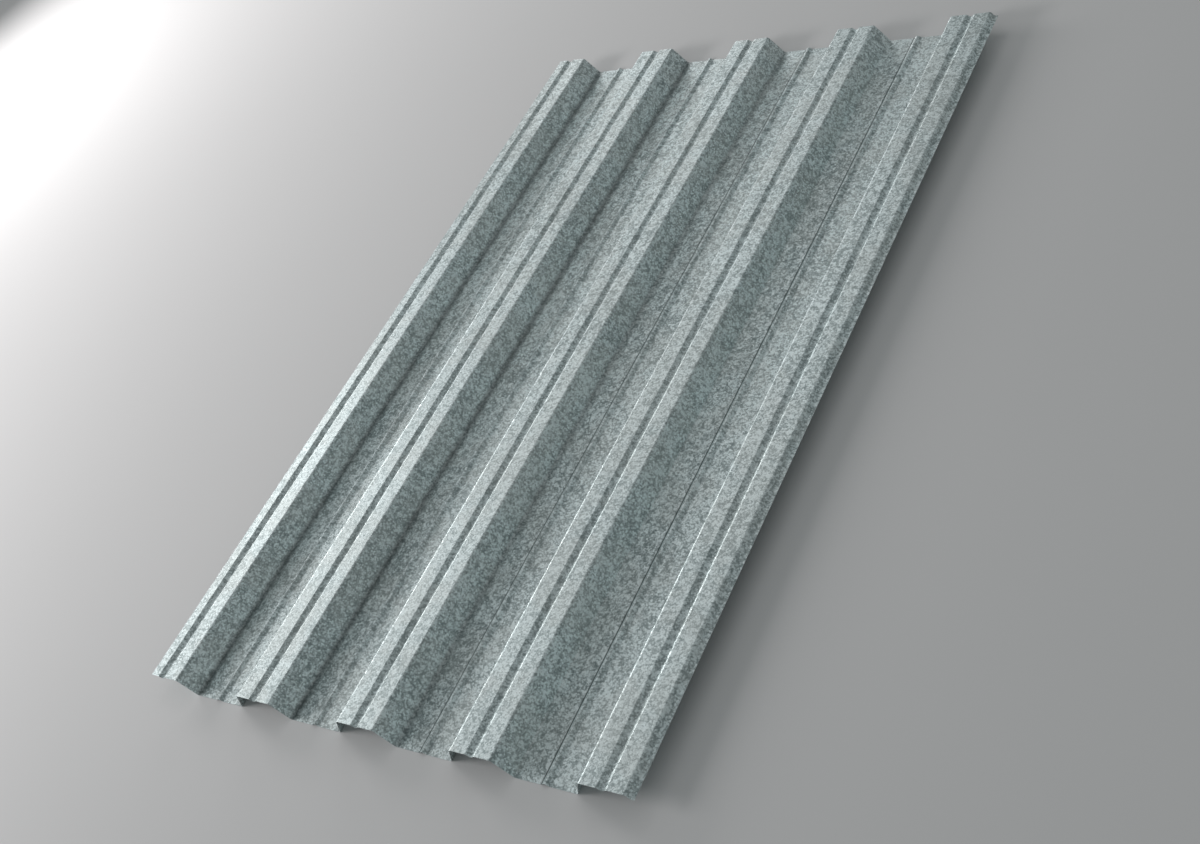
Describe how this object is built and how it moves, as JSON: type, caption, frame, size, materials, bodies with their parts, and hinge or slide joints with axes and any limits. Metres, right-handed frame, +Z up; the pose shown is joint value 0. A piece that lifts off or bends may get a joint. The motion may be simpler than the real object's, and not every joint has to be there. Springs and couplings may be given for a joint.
{
  "type": "trapezoidal corrugated metal sheet",
  "caption": "Galvanised steel sheet with trapezoidal corrugations, a groove along each crest and a rib along each valley, for roofs and walls.",
  "frame": {"origin": "middle of the sheet, on the plane that the valleys rest on", "axes": "+X across the corrugations from the free edge towards the edge with the lip, +Y along the corrugations, +Z up, on the crests' side"},
  "size_m": [1.083, 1.71, 0.0427],
  "materials": {
    "galvanised_steel": "hot-dip galvanised, fine spangle, satin"
  },
  "bodies": {
    "root": {"profiled_sheet": "galvanised_steel"}
  },
  "joints": []
}
